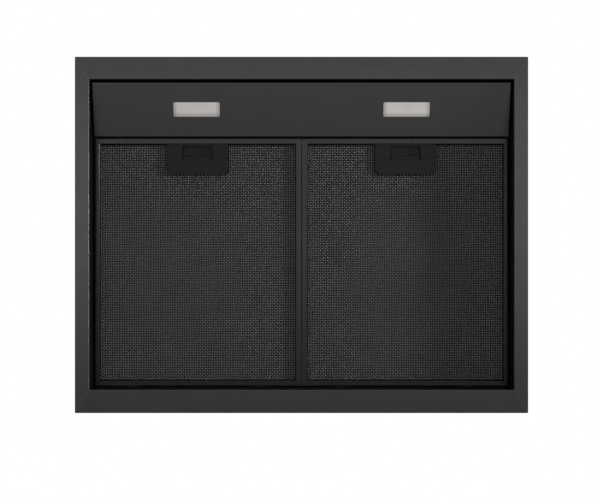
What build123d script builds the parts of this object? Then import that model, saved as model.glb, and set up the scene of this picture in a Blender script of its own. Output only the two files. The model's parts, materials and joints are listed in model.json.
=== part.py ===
from build123d import *
import os
from math import acos, atan2, cos, degrees, radians, sin, sqrt

# Wall-mounted chimney cooker hood, 60 cm class, seen from below in its picture.
# Millimetres. Origin: centre of the rim's underside. +X right, +Y to the wall, +Z up.
# Front is at -Y. The two grease filters swing down about their rear tabs.

# Canopy: a folded and welded steel box, open below, with a mitred rim
canopy_width = 598.0
canopy_depth = 470.0
canopy_height = 76.0
sheet = 1.0
canopy_corner = 1.2
rim_side = 18.6
rim_front = 29.8
rim_rear = 30.8
rim_lip = 3.0
rim_bend = 1.2
seam_width = 0.5
seam_depth = 0.3
seam_share = 0.94

# Filter bay: the inner frame that stands on the rim and stops the filters
filter_z = 34.0
filter_seat_gap = 0.4
ledge = 10.0
mullion_width = 22.0
mullion_height = 10.0

# Grease filter: frame, mesh, core and back, with a latch at the front edge
filter_side_gap = 1.5
filter_middle_gap = 0.8
filter_rear_gap = 1.2
filter_front_gap = 1.9
filter_bar = 8.0
filter_bar_height = 5.0
filter_skin = 1.0
filter_edge_round = 0.8
filter_outer_round = 3.0
filter_rear_round = 1.2
filter_window_edge = 1.2
pack_clearance = 0.3
mesh_thickness = 0.8
core_thickness = 2.2
back_thickness = 1.0
mesh_cell = 47.0
mesh_hole = 26.0
mesh_border = 3.0
back_columns = 3
back_rows = 4
back_rib = 8.0
tab_width = 14.0
tab_spacing = 170.0
tab_thickness = 1.2
tab_bead = 1.2
tab_play = 0.2
tab_side_play = 1.0

# Latch: bezel, sliding grip with its tongue, and a wave spring
latch_width = 82.8
latch_length = 40.4
latch_round = 9.0
latch_edge = 0.9
latch_sink = 1.0
latch_wall = 1.4
latch_face = 1.2
window_front_width = 39.0
window_rear_width = 44.8
window_length = 18.4
window_inset = 2.1
grip_width = 43.0
grip_plate = 2.0
grip_lip_width = 37.0
grip_lip_length = 4.2
grip_lip_slope = 1.0
grip_lip_inset = 0.2
grip_gap = 0.3
guide_width = 2.4
guide_lap = 1.6
foot_width = 54.0
tongue_width = 22.0
tongue_thickness = 1.6
tongue_reach = 4.0
tongue_play = 0.5
latch_travel = 7.0
spring_closed = 10.8
spring_width = 18.0
spring_strip = 0.6
spring_bends = 3
spring_bend = 1.6
spring_height = 1.6
spring_end_gap = 0.2

# Light panel: a sloping strip in front of the filters, with two lamps
panel_front_z = 10.0
panel_rear_z = 28.8
panel_front_gap = 2.4
panel_end_gap = 3.5
panel_depth = 70.9
panel_bend = 1.2
lens_width = 61.6
lens_height = 19.4
lens_round = 1.6
lens_proud = 0.3
lens_edge = 0.3
lens_border = 3.4
lens_step = 0.3
lens_flange = 3.0
lens_flange_thickness = 1.5
lens_play = 0.3
lamp_wall = 1.5
lamp_depth = 15.0
board_thickness = 1.6
lamp_board_margin = 2.0
lamp_packages = 4

# Controls: five push buttons in a bezel in the front face
button_count = 5
button_width = 18.0
button_height = 10.0
button_pitch = 24.0
button_play = 0.3
button_sink = 0.2
button_edge = 0.6
button_collar = 1.0
button_collar_thickness = 1.4
button_stem_radius = 2.0
button_stem_length = 2.6
button_travel = 2.0
bezel_border = 4.0
bezel_depth = 5.0
bezel_flange = 4.0
bezel_flange_thickness = 2.0
bezel_round = 2.0
control_z = 42.0
switch_side = 6.0
switch_height = 1.4
post_width = 4.0

# Electrical boxes under the top of the canopy
box_width = 120.0
box_depth = 52.0
box_height = 26.0
box_wall = 1.8
box_lid = 2.0
box_offset = 92.0
driver_width = 110.0
driver_height = 22.0
driver_round = 3.0

# Chimney: a lower and an upper channel, open to the wall, the upper one sliding
chimney_width = 262.0
chimney_depth = 250.0
chimney_return = 18.0
chimney_bend = 2.0
chimney_lower_height = 544.0
chimney_upper_height = 564.0
chimney_slide_gap = 0.5
chimney_stand_gap = 0.3
vent_slot_length = 70.0
vent_slot_width = 4.0
vent_slot_pitch = 9.0
vent_slots = 6
vent_from_top = 32.0
bracket_height = 26.0
bracket_from_top = 4.0
bracket_wing = 26.0
bracket_step = 14.0
bracket_hole = 3.2
bracket_hole_spacing = 120.0

# Blower: casing on the canopy, volute, double impeller and its motor
casing_side_gap = 17.0
casing_front_gap = 9.0
casing_rear_gap = 10.0
casing_flange = 6.0
intake_margin = 12.0
impeller_radius = 75.0
impeller_width = 104.0
impeller_ring = 15.0
impeller_ring_thickness = 2.0
impeller_disc = 2.4
impeller_hub = 11.0
impeller_hub_length = 18.0
blade_count = 26
blade_thickness = 1.4
blade_inset = 1.0
blade_sag = 2.4
blade_lean = 8.0
volute_gap = 6.0
volute_growth = 10.0
volute_wall = 2.0
volute_side_gap = 6.0
volute_tongue = 40.0
volute_front_gap = 6.0
volute_floor_gap = 12.0
volute_outlet_rise = 108.0
inlet_radius = 57.0
inlet_lip = 4.0
shaft_radius = 4.0
shaft_play = 0.08
motor_radius = 41.0
motor_disc_gap = 12.0
motor_chamfer = 5.0
motor_boss_radius = 16.0
motor_boss_length = 9.0
bracket_plate = 2.0
bracket_ring = 8.0
bracket_hub = 25.0
bracket_arm = 11.0
bracket_arms = 3
capacitor_radius = 15.0
capacitor_length = 58.0
capacitor_z = 150.0
clip_thickness = 1.2
clip_height = 16.0

# Outlet: collar with a rectangular foot, and two backdraught flaps on pins
collar_radius = 74.5
collar_wall = 2.0
collar_height = 64.0
collar_rise = 40.0
collar_foot = 2.0
collar_foot_margin = 10.0
collar_y_offset = 24.0
seat_width = 4.5
seat_height = 2.0
flap_edge_gap = 1.5
flap_thickness = 2.0
flap_seat_gap = 0.3
flap_barrel = 2.4
flap_barrel_length = 108.0
flap_barrel_gap = 1.6
pin_radius = 1.2
pin_play = 0.08
gland_radius = 11.0
gland_height = 18.0
gland_bore = 4.5
gland_nut_side = 26.0
gland_nut_height = 5.0
gland_inset = 24.0

# Wall fixings in the rear of the canopy
keyhole_radius = 7.0
keyhole_neck = 3.5
keyhole_rise = 12.0
keyhole_spacing = 300.0
keyhole_z = 44.0
screw_hole = 3.5
screw_hole_spacing = 440.0
screw_hole_z = 58.0
plate_width = 44.0
plate_height = 44.0
plate_thickness = 1.5

# Places worked out from the sizes above
half_width = canopy_width / 2
front_y = -canopy_depth / 2
rear_y = canopy_depth / 2
opening_half = half_width - rim_side
opening_front = front_y + rim_front
opening_rear = rear_y - rim_rear
deck_z = canopy_height - sheet

bay_half = opening_half + sheet
bay_front = opening_front - sheet
bay_rear = opening_rear + sheet
bay_y = (bay_front + bay_rear) / 2
bay_depth = bay_rear - bay_front

pack_thickness = mesh_thickness + core_thickness + back_thickness
filter_thickness = filter_bar_height + pack_thickness + filter_skin
seat_z = filter_z + filter_thickness + filter_seat_gap
ledge_top = seat_z + sheet

panel_front = opening_front + panel_front_gap
panel_rear = panel_front + panel_depth
panel_half = bay_half - panel_end_gap
panel_angle = atan2(panel_rear_z - panel_front_z, panel_rear - panel_front)
panel_middle = (panel_front + panel_rear) / 2
panel_middle_z = (panel_front_z + panel_rear_z) / 2

filter_outer = bay_half - filter_side_gap
filter_width = filter_outer - filter_middle_gap / 2
filter_x = (filter_outer + filter_middle_gap / 2) / 2
filter_front = panel_rear + filter_front_gap
filter_rear = bay_rear - filter_rear_gap
filter_length = filter_rear - filter_front
filter_y = (filter_front + filter_rear) / 2
mesh_z = filter_z + filter_bar_height
core_z = mesh_z + mesh_thickness
back_z = core_z + core_thickness
window_width = filter_width - 2 * filter_bar
window_depth = filter_length - 2 * filter_bar
pocket_width = filter_width - 2 * filter_skin
pocket_length = filter_length - 2 * filter_skin
hinge_y = bay_rear + sheet / 2
hinge_z = filter_z + filter_rear_round

latch_front = filter_front + filter_bar
latch_rear = latch_front + latch_length
latch_y = (latch_front + latch_rear) / 2
latch_z = filter_z + latch_sink
latch_top = back_z
window_front = latch_front + window_inset
window_rear = window_front + window_length
grip_rear = latch_rear - latch_wall - spring_closed - latch_travel
grip_top = latch_top - grip_gap
grip_bottom = grip_top - grip_plate
grip_front = window_front + grip_gap
tongue_z = grip_bottom + (grip_plate - tongue_thickness) / 2
tongue_tip = panel_rear - sheet - tongue_reach

chimney_front = rear_y - chimney_depth
upper_half = chimney_width / 2 - sheet - chimney_slide_gap
upper_front = chimney_front + sheet + chimney_slide_gap
upper_rear = rear_y - sheet - chimney_slide_gap
upper_base = canopy_height + chimney_stand_gap
upper_top = upper_base + chimney_upper_height

casing_half = upper_half - sheet - casing_side_gap
casing_front = upper_front + sheet + casing_front_gap
casing_rear = upper_rear - casing_rear_gap
casing_y = (casing_front + casing_rear) / 2
casing_depth = casing_rear - casing_front

volute_radius = impeller_radius + volute_gap
volute_half = impeller_width / 2 + volute_side_gap
volute_bottom = volute_radius + volute_growth
volute_right = volute_radius + 3 * volute_growth
fan_y = casing_front + sheet + volute_front_gap + volute_radius
fan_z = canopy_height + volute_floor_gap + volute_bottom
casing_top = fan_z + volute_outlet_rise + sheet
outlet_front = fan_y + volute_tongue
outlet_rear = fan_y + volute_right
outlet_y = (outlet_front + outlet_rear) / 2
fan_plane = Plane(origin=(0, fan_y, fan_z), x_dir=(0, 1, 0), z_dir=(1, 0, 0))

collar_y = outlet_y - collar_y_offset
collar_base = casing_top + collar_foot + collar_rise
collar_top = collar_base + collar_height
flap_z = collar_base + seat_height + flap_seat_gap + flap_thickness / 2
flap_radius = collar_radius - collar_wall - flap_edge_gap
flap_axis = flap_barrel + flap_barrel_gap / 2

SIDES = {"left": -1, "right": 1}


def finish(piece, name):
    """Label a finished piece and write it to its own file."""
    piece.part.label = name
    export_step(piece.part, f"parts/{name}.step")


def strip(points, radius, thickness):
    """Cross-section of a folded strip: a bent line, thickened to its left."""
    with BuildLine() as folded:
        line = FilletPolyline(*points, radius=radius)
        offset(line, amount=thickness, side=Side.LEFT)
    make_face(folded.edges())


def keyhole(x, z):
    """A keyhole: a round hole for the screw head with a neck above it."""
    with Locations((x, z)):
        Circle(keyhole_radius)
    with Locations((x, z + keyhole_rise / 2)):
        Rectangle(2 * keyhole_neck, keyhole_rise)
    with Locations((x, z + keyhole_rise)):
        Circle(keyhole_neck)


def on_panel(x):
    """Plane on the light panel's lower face at a lamp, facing down out of the hood."""
    normal = (0, sin(panel_angle), -cos(panel_angle))
    return Plane(origin=(x, panel_middle, panel_middle_z), x_dir=(1, 0, 0), z_dir=normal)


def canopy():
    """The visible shell: sides, top, mitred rim with an upturned lip, and cut-outs."""
    with BuildPart() as canopy_shell:
        Box(canopy_width, canopy_depth, canopy_height, align=(Align.CENTER, Align.CENTER, Align.MIN))
        fillet(canopy_shell.edges().filter_by(Axis.Z), canopy_corner)
        offset(amount=-sheet, openings=canopy_shell.faces().sort_by(Axis.Z)[0])
        with BuildSketch():
            RectangleRounded(canopy_width, canopy_depth, canopy_corner)
            with Locations((0, bay_y)):
                Rectangle(2 * bay_half, bay_depth, mode=Mode.SUBTRACT)
        extrude(amount=sheet)
        with BuildSketch():
            with Locations((0, bay_y)):
                Rectangle(2 * bay_half, bay_depth)
                Rectangle(2 * opening_half, opening_rear - opening_front, mode=Mode.SUBTRACT)
        extrude(amount=rim_lip)
        below = canopy_shell.edges().group_by(Axis.Z)[0]
        inner = below.filter_by(lambda e: abs(e.center().X) < bay_half and abs(e.length) < canopy_width)
        inner = inner.filter_by(lambda e: bay_front < e.center().Y < bay_rear)
        fillet(inner, rim_bend)
        # Welded mitre seams from each corner of the opening to the outer corner
        with BuildSketch():
            with BuildLine():
                for side in SIDES.values():
                    for outer, corner in ((front_y, opening_front), (rear_y, opening_rear)):
                        start = Vector(side * opening_half, corner)
                        end = Vector(side * half_width, outer)
                        Line(start, start + (end - start) * seam_share)
            trace(line_width=seam_width)
        extrude(amount=seam_depth, mode=Mode.SUBTRACT)
        # Air intake into the blower casing
        with BuildSketch(Plane.XY.offset(deck_z)):
            with Locations((0, casing_y)):
                Rectangle(2 * (casing_half - intake_margin), casing_depth - 2 * intake_margin)
        extrude(amount=sheet, mode=Mode.SUBTRACT)
        # Opening for the control bezel in the front face
        with BuildSketch(Plane.XZ.offset(-front_y)):
            with Locations((0, control_z)):
                RectangleRounded(bezel_width(), bezel_height(), bezel_round)
        extrude(amount=-sheet, mode=Mode.SUBTRACT)
        # Keyholes and screw holes in the rear face
        with BuildSketch(Plane.XZ.offset(-rear_y)):
            for side in SIDES.values():
                keyhole(side * keyhole_spacing / 2, keyhole_z)
            with Locations((0, screw_hole_z)):
                with GridLocations(screw_hole_spacing, 0, 2, 1):
                    Circle(screw_hole)
        extrude(amount=sheet, mode=Mode.SUBTRACT)
    finish(canopy_shell, "canopy_shell")

    with BuildPart() as wall_plates:
        with BuildSketch(Plane.XZ.offset(sheet - rear_y)):
            for side in SIDES.values():
                with Locations((side * keyhole_spacing / 2, keyhole_z + keyhole_rise / 2)):
                    Rectangle(plate_width, plate_height)
        extrude(amount=plate_thickness)
        with BuildSketch(Plane.XZ.offset(sheet - rear_y)):
            for side in SIDES.values():
                keyhole(side * keyhole_spacing / 2, keyhole_z)
        extrude(amount=plate_thickness, mode=Mode.SUBTRACT)
    finish(wall_plates, "wall_plates")


def filter_bay():
    """Dark inner frame round the filters, and the rail above the filters' joint."""
    tabs = [side * filter_x + turn * tab_spacing / 2 for side in (-1, 1) for turn in (-1, 1)]
    with BuildPart() as inner_frame:
        with BuildSketch(Plane.XY.offset(sheet)):
            with Locations((0, bay_y)):
                Rectangle(2 * (bay_half + sheet), bay_depth + 2 * sheet)
                Rectangle(2 * bay_half, bay_depth, mode=Mode.SUBTRACT)
        extrude(amount=ledge_top - sheet)
        with BuildSketch(Plane.XY.offset(seat_z)):
            with Locations((0, bay_y)):
                Rectangle(2 * bay_half, bay_depth)
                Rectangle(2 * (bay_half - ledge), bay_depth - 2 * ledge, mode=Mode.SUBTRACT)
        extrude(amount=sheet)
        with BuildSketch(Plane.XZ.offset(-bay_rear - sheet)):
            with Locations(*[(x, hinge_z) for x in tabs]):
                Rectangle(tab_width + 2 * tab_side_play, 2 * (tab_bead + tab_play))
        extrude(amount=sheet, mode=Mode.SUBTRACT)
    finish(inner_frame, "inner_frame")

    half = mullion_width / 2
    with BuildPart() as filter_mullion:
        with BuildSketch(Plane.XZ.offset(-bay_rear)):
            rise = ledge_top + mullion_height
            strip([(-half, rise), (-half, ledge_top), (half, ledge_top), (half, rise)], panel_bend, sheet)
        extrude(amount=bay_depth)
    finish(filter_mullion, "filter_mullion")


def lights():
    """Sloping light panel with its lamps: lens, housing and board behind it."""
    with BuildPart() as light_panel:
        with BuildSketch(Plane.YZ):
            strip(
                [
                    (bay_front, seat_z - sheet),
                    (panel_front, seat_z - sheet),
                    (panel_front, panel_front_z),
                    (panel_rear, panel_rear_z),
                    (panel_rear, seat_z),
                ],
                panel_bend,
                sheet,
            )
        extrude(amount=panel_half, both=True)
        for side in SIDES.values():
            with BuildSketch(on_panel(side * filter_x)):
                RectangleRounded(lens_width + 2 * lens_play, lens_height + 2 * lens_play, lens_round)
            extrude(amount=-2 * sheet, both=True, mode=Mode.SUBTRACT)
        # Slots that the latch tongues reach through
        with BuildSketch(Plane.XZ.offset(-panel_rear)):
            with Locations((0, tongue_z + tongue_thickness / 2)):
                with GridLocations(2 * filter_x, 0, 2, 1):
                    Rectangle(tongue_width + 2 * tongue_play, tongue_thickness + 2 * tongue_play)
        extrude(amount=2 * sheet, both=True, mode=Mode.SUBTRACT)
    finish(light_panel, "light_panel")

    flange_width = lens_width + 2 * lens_flange
    flange_height = lens_height + 2 * lens_flange
    for name, side in SIDES.items():
        face = on_panel(side * filter_x)
        behind = face.offset(-sheet)
        with BuildPart() as lens:
            with BuildSketch(behind):
                RectangleRounded(lens_width, lens_height, lens_round)
            extrude(amount=sheet + lens_proud)
            chamfer(lens.faces().sort_by(Axis.Z)[0].edges(), lens_edge)
            with BuildSketch(face.offset(lens_proud)):
                Rectangle(lens_width - 2 * lens_border, lens_height - 2 * lens_border)
            extrude(amount=lens_step)
            with BuildSketch(behind):
                Rectangle(flange_width, flange_height)
            extrude(amount=-lens_flange_thickness)
        finish(lens, f"lamp_lens_{name}")

        with BuildPart() as housing:
            with BuildSketch(behind):
                Rectangle(flange_width + 2 * (lens_play + lamp_wall), flange_height + 2 * (lens_play + lamp_wall))
            extrude(amount=-lamp_depth)
            with BuildSketch(behind):
                Rectangle(flange_width + 2 * lens_play, flange_height + 2 * lens_play)
            extrude(amount=lamp_wall - lamp_depth, mode=Mode.SUBTRACT)
        finish(housing, f"lamp_housing_{name}")

        with BuildPart() as board:
            with BuildSketch(behind.offset(lamp_wall - lamp_depth)):
                Rectangle(flange_width - 2 * lamp_board_margin, flange_height - 2 * lamp_board_margin)
            extrude(amount=board_thickness)
            # A row of light-emitting packages on the board
            with BuildSketch(behind.offset(lamp_wall - lamp_depth + board_thickness)):
                with GridLocations(lens_width / lamp_packages, 0, lamp_packages, 1):
                    Rectangle(2 * board_thickness, 2 * board_thickness)
            extrude(amount=board_thickness / 2)
        finish(board, f"lamp_board_{name}")


def bezel_width():
    """Width of the control bezel's visible face."""
    return (button_count - 1) * button_pitch + button_width + 2 * bezel_border


def bezel_height():
    """Height of the control bezel's visible face."""
    return button_height + 2 * bezel_border


def controls():
    """Push buttons, the bezel that guides them and the switch board behind."""
    face = Plane.XZ.offset(-front_y)
    back = bezel_depth + button_collar_thickness + button_stem_length + button_travel
    post_x = bezel_width() / 2 + bezel_flange - post_width / 2
    with BuildPart() as control_bezel:
        with BuildSketch(face):
            with Locations((0, control_z)):
                RectangleRounded(bezel_width(), bezel_height(), bezel_round)
        extrude(amount=-bezel_depth)
        with BuildSketch(face.offset(-sheet)):
            with Locations((0, control_z)):
                Rectangle(bezel_width() + 2 * bezel_flange, bezel_height() + 2 * bezel_flange)
        extrude(amount=-bezel_flange_thickness)
        with BuildSketch(face):
            with Locations((0, control_z)):
                with GridLocations(button_pitch, 0, button_count, 1):
                    Rectangle(button_width + 2 * button_play, button_height + 2 * button_play)
        extrude(amount=-bezel_depth, mode=Mode.SUBTRACT)
        with BuildSketch(face.offset(-sheet)):
            with Locations((0, control_z)):
                with GridLocations(2 * post_x, 0, 2, 1):
                    Rectangle(post_width, bezel_height())
        extrude(amount=sheet - back - switch_height)
    finish(control_bezel, "control_bezel")

    with BuildPart() as control_board:
        with BuildSketch(face.offset(-back - switch_height)):
            with Locations((0, control_z)):
                Rectangle(2 * post_x + post_width, bezel_height())
        extrude(amount=-board_thickness)
        with BuildSketch(face.offset(-back - switch_height)):
            with Locations((0, control_z)):
                with GridLocations(button_pitch, 0, button_count, 1):
                    Rectangle(switch_side, switch_side)
        extrude(amount=switch_height - button_play)
    finish(control_board, "control_board")

    for number in range(button_count):
        x = (number - (button_count - 1) / 2) * button_pitch
        with BuildPart() as button:
            with BuildSketch(face.offset(-button_sink)):
                with Locations((x, control_z)):
                    Rectangle(button_width, button_height)
            extrude(amount=button_sink - bezel_depth - button_play)
            chamfer(button.faces().sort_by(Axis.Y)[0].edges(), button_edge)
            with BuildSketch(face.offset(-bezel_depth - button_play)):
                with Locations((x, control_z)):
                    Rectangle(button_width + 2 * button_collar, button_height + 2 * button_collar)
            extrude(amount=-button_collar_thickness)
            with BuildSketch(face.offset(-bezel_depth - button_play - button_collar_thickness)):
                with Locations((x, control_z)):
                    Circle(button_stem_radius)
            extrude(amount=-button_stem_length + button_play)
        finish(button, f"button_{number + 1}")


def electrics():
    """Control box with its lid, and the lamp driver, hung under the canopy top."""
    y = panel_middle
    under = Plane.XY.offset(deck_z)
    with BuildPart() as control_box:
        with BuildSketch(under):
            with Locations((box_offset, y)):
                RectangleRounded(box_width, box_depth, driver_round)
        extrude(amount=-box_height)
        with BuildSketch(under.offset(-box_height)):
            with Locations((box_offset, y)):
                Rectangle(box_width - 2 * box_wall, box_depth - 2 * box_wall)
        extrude(amount=box_height - box_wall, mode=Mode.SUBTRACT)
    finish(control_box, "control_box")

    with BuildPart() as control_box_lid:
        with BuildSketch(under.offset(-box_height)):
            with Locations((box_offset, y)):
                RectangleRounded(box_width, box_depth, driver_round)
        extrude(amount=-box_lid)
        with BuildSketch(under.offset(-box_height)):
            with Locations((box_offset, y)):
                Rectangle(box_width - 2 * (box_wall + lens_play), box_depth - 2 * (box_wall + lens_play))
                Rectangle(box_width - 4 * box_wall, box_depth - 4 * box_wall, mode=Mode.SUBTRACT)
        extrude(amount=box_lid)
    finish(control_box_lid, "control_box_lid")

    with BuildPart() as led_driver:
        with BuildSketch(under):
            with Locations((-box_offset, y)):
                Rectangle(driver_width, box_depth)
        extrude(amount=-driver_height)
        fillet(led_driver.faces().sort_by(Axis.Z)[0].edges(), driver_round)
    finish(led_driver, "led_driver")


def pack_outline(x):
    """Outline of a filter layer: fills the frame's pocket, notched round the latch."""
    with Locations((x, filter_y)):
        Rectangle(pocket_width - 2 * pack_clearance, pocket_length - 2 * pack_clearance)
    notch = latch_length + filter_bar + latch_round
    with Locations((x, latch_rear + pack_clearance - notch / 2)):
        RectangleRounded(
            latch_width + 2 * pack_clearance, notch, latch_round + pack_clearance, mode=Mode.SUBTRACT
        )


def mesh_holes(x):
    """Centres of the staggered mesh openings that lie clear of frame and latch."""
    reach = mesh_hole / sqrt(2) + mesh_border
    half_x = window_width / 2 - reach
    half_y = window_depth / 2 - reach
    columns = round(2 * half_x / mesh_cell)
    rows = round(2 * half_y / mesh_cell)
    centres = []
    for column in range(-columns, columns + 1):
        for row in range(-rows, rows + 1):
            across, y = column * half_x / columns, filter_y + row * half_y / rows
            beside = abs(across) > latch_width / 2 + reach - mesh_border
            behind = y > latch_rear + reach - mesh_border
            if (column + row) % 2 == 0 and (beside or behind):
                centres.append((x + across, y))
    return centres


def grease_filter(name, side):
    """One grease filter: frame with rear tabs, face mesh, core and back."""
    x = side * filter_x
    with BuildPart() as frame:
        with BuildSketch(Plane.XY.offset(filter_z)):
            with Locations((x, filter_y)):
                Rectangle(filter_width, filter_length)
        extrude(amount=filter_thickness)
        outer, inner = (-1, 0) if side > 0 else (0, -1)
        fillet(frame.faces().sort_by(Axis.Z)[0].edges().sort_by(Axis.Y)[-1], filter_rear_round)
        fillet(frame.faces().sort_by(Axis.Z)[0].edges().sort_by(Axis.X)[outer], filter_outer_round)
        below = frame.faces().sort_by(Axis.Z)[0].edges()
        fillet([below.sort_by(Axis.X)[inner], below.sort_by(Axis.Y)[0]], filter_edge_round)
        with BuildSketch(Plane.XY.offset(filter_z)):
            with Locations((x, filter_y)):
                Rectangle(window_width, window_depth)
        extrude(amount=filter_thickness, mode=Mode.SUBTRACT)
        chamfer(frame.faces().sort_by(Axis.Z)[0].inner_wires()[0].edges(), filter_window_edge)
        with BuildSketch(Plane.XY.offset(mesh_z)):
            with Locations((x, filter_y)):
                Rectangle(pocket_width, pocket_length)
        extrude(amount=pack_thickness, mode=Mode.SUBTRACT)
        # Slot in the front wall for the latch tongue
        with BuildSketch(Plane.XZ.offset(-filter_front)):
            with Locations((x, tongue_z + tongue_thickness / 2)):
                Rectangle(tongue_width + 2 * tongue_play, tongue_thickness + 2 * tongue_play)
        extrude(amount=-filter_skin, mode=Mode.SUBTRACT)
        # Rear tabs with a curled edge that turns in the bay's slots
        with BuildSketch(Plane.YZ.offset(x)):
            with Locations(((filter_rear - filter_skin + hinge_y) / 2, hinge_z)):
                Rectangle(hinge_y - filter_rear + filter_skin, tab_thickness)
            with Locations((hinge_y, hinge_z)):
                Circle(tab_bead)
        tab = extrude(amount=tab_width / 2, both=True, mode=Mode.PRIVATE)
        with Locations((-tab_spacing / 2, 0, 0), (tab_spacing / 2, 0, 0)):
            add(tab)
    finish(frame, f"filter_frame_{name}")

    with BuildPart() as mesh:
        with BuildSketch(Plane.XY.offset(mesh_z)):
            pack_outline(x)
            with Locations(*mesh_holes(x)):
                Rectangle(mesh_hole, mesh_hole, rotation=45, mode=Mode.SUBTRACT)
        extrude(amount=mesh_thickness)
    finish(mesh, f"filter_mesh_{name}")

    with BuildPart() as core:
        with BuildSketch(Plane.XY.offset(core_z)):
            pack_outline(x)
        extrude(amount=core_thickness)
    finish(core, f"filter_core_{name}")

    cell_x = window_width / back_columns
    cell_y = window_depth / back_rows
    with BuildPart() as back:
        with BuildSketch(Plane.XY.offset(back_z)):
            with Locations((x, filter_y)):
                Rectangle(pocket_width - 2 * pack_clearance, pocket_length - 2 * pack_clearance)
                with GridLocations(cell_x, cell_y, back_columns, back_rows):
                    Rectangle(cell_x - back_rib, cell_y - back_rib, mode=Mode.SUBTRACT)
            # The plate stays whole above the latch
            with Locations((x, latch_y)):
                Rectangle(latch_width, latch_length)
        extrude(amount=back_thickness)
    finish(back, f"filter_back_{name}")


def latch(name, side):
    """Filter latch: bezel with a finger window, sliding grip and wave spring."""
    x = side * filter_x
    guide = grip_width / 2 + grip_gap
    with BuildPart() as bezel:
        with BuildSketch(Plane.XY.offset(latch_z)) as outline:
            with Locations((x, latch_y)):
                Rectangle(latch_width, latch_length)
            fillet(outline.vertices().group_by(Axis.Y)[-1], latch_round)
        extrude(amount=latch_top - latch_z)
        fillet(bezel.faces().sort_by(Axis.Z)[0].edges().sort_by(Axis.Y)[1:], latch_edge)
        with BuildSketch(Plane.XY.offset(latch_z + latch_face)) as cavity:
            with Locations((x, latch_y)):
                Rectangle(latch_width - 2 * latch_wall, latch_length - 2 * latch_wall)
            fillet(cavity.vertices().group_by(Axis.Y)[-1], latch_round - latch_wall)
        extrude(amount=latch_top - latch_z, mode=Mode.SUBTRACT)
        # Foot that hooks under the frame's front bar
        with BuildSketch(Plane.XY.offset(mesh_z)):
            with Locations((x, latch_front + latch_wall)):
                Rectangle(
                    foot_width,
                    filter_bar - filter_skin - pack_clearance + latch_wall,
                    align=(Align.CENTER, Align.MAX),
                )
        extrude(amount=latch_top - mesh_z)
        # Guides that carry the sliding grip along both edges
        for turn in (-1, 1):
            inner = guide - guide_lap
            with BuildSketch(Plane.XY.offset(latch_z + latch_face)):
                with Locations((x + turn * (inner + guide + guide_width) / 2, latch_y)):
                    Rectangle(guide + guide_width - inner, latch_length - 2 * latch_wall)
            extrude(amount=grip_bottom - grip_gap - latch_z - latch_face)
            with BuildSketch(Plane.XY.offset(latch_z + latch_face)):
                with Locations((x + turn * (guide + guide_width / 2), latch_y)):
                    Rectangle(guide_width, latch_length - 2 * latch_wall)
            extrude(amount=latch_top - latch_z - latch_face)
        # Tapered finger window through the face
        with BuildSketch(Plane.XY.offset(latch_z)):
            with BuildLine():
                Polyline(
                    (x - window_front_width / 2, window_front),
                    (x + window_front_width / 2, window_front),
                    (x + window_rear_width / 2, window_rear),
                    (x - window_rear_width / 2, window_rear),
                    close=True,
                )
            make_face()
        extrude(amount=latch_face, mode=Mode.SUBTRACT)
        # Passage for the tongue
        with BuildSketch(Plane.XZ.offset(-latch_front - latch_wall)):
            with Locations((x, tongue_z + tongue_thickness / 2)):
                Rectangle(tongue_width + 2 * tongue_play, tongue_thickness + 2 * grip_gap)
        extrude(amount=filter_bar + latch_wall, mode=Mode.SUBTRACT)
    finish(bezel, f"latch_bezel_{name}")

    lip_rear = window_rear - grip_lip_inset
    with BuildPart() as grip:
        with BuildSketch(Plane.XY.offset(grip_bottom)):
            with Locations((x, grip_front)):
                Rectangle(grip_width, grip_rear - grip_front, align=(Align.CENTER, Align.MIN))
        extrude(amount=grip_plate)
        with BuildSketch(Plane.XY.offset(tongue_z)):
            with Locations((x, tongue_tip)):
                Rectangle(tongue_width, grip_front - tongue_tip, align=(Align.CENTER, Align.MIN))
        extrude(amount=tongue_thickness)
        with BuildSketch(Plane.YZ.offset(x)):
            low = latch_z + latch_face + grip_gap
            with BuildLine():
                Polyline(
                    (lip_rear, grip_bottom),
                    (lip_rear, low),
                    (lip_rear - grip_lip_length, low),
                    (lip_rear - grip_lip_length - grip_lip_slope, grip_bottom),
                    close=True,
                )
            make_face()
        extrude(amount=grip_lip_width / 2, both=True)
    finish(grip, f"latch_slider_{name}")

    start = grip_rear + spring_end_gap
    end = latch_rear - latch_wall - spring_end_gap
    step = (end - start) / spring_bends
    points = [(x - spring_width / 2, start)]
    for bend in range(spring_bends):
        turn = 1 if bend % 2 == 0 else -1
        points.append((x + turn * spring_width / 2, start + (bend + 0.5) * step))
    points.append((x - spring_width / 2, end - spring_strip))
    with BuildPart() as spring:
        with BuildSketch(Plane.XY.offset(tongue_z)):
            strip(points, spring_bend, spring_strip)
        extrude(amount=spring_height)
    finish(spring, f"latch_spring_{name}")


def channel(half, front, rear):
    """Plan of a chimney section: front and sides, with returns at the open rear."""
    strip(
        [
            (chimney_return - half, rear),
            (-half, rear),
            (-half, front),
            (half, front),
            (half, rear),
            (half - chimney_return, rear),
        ],
        chimney_bend,
        sheet,
    )


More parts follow.
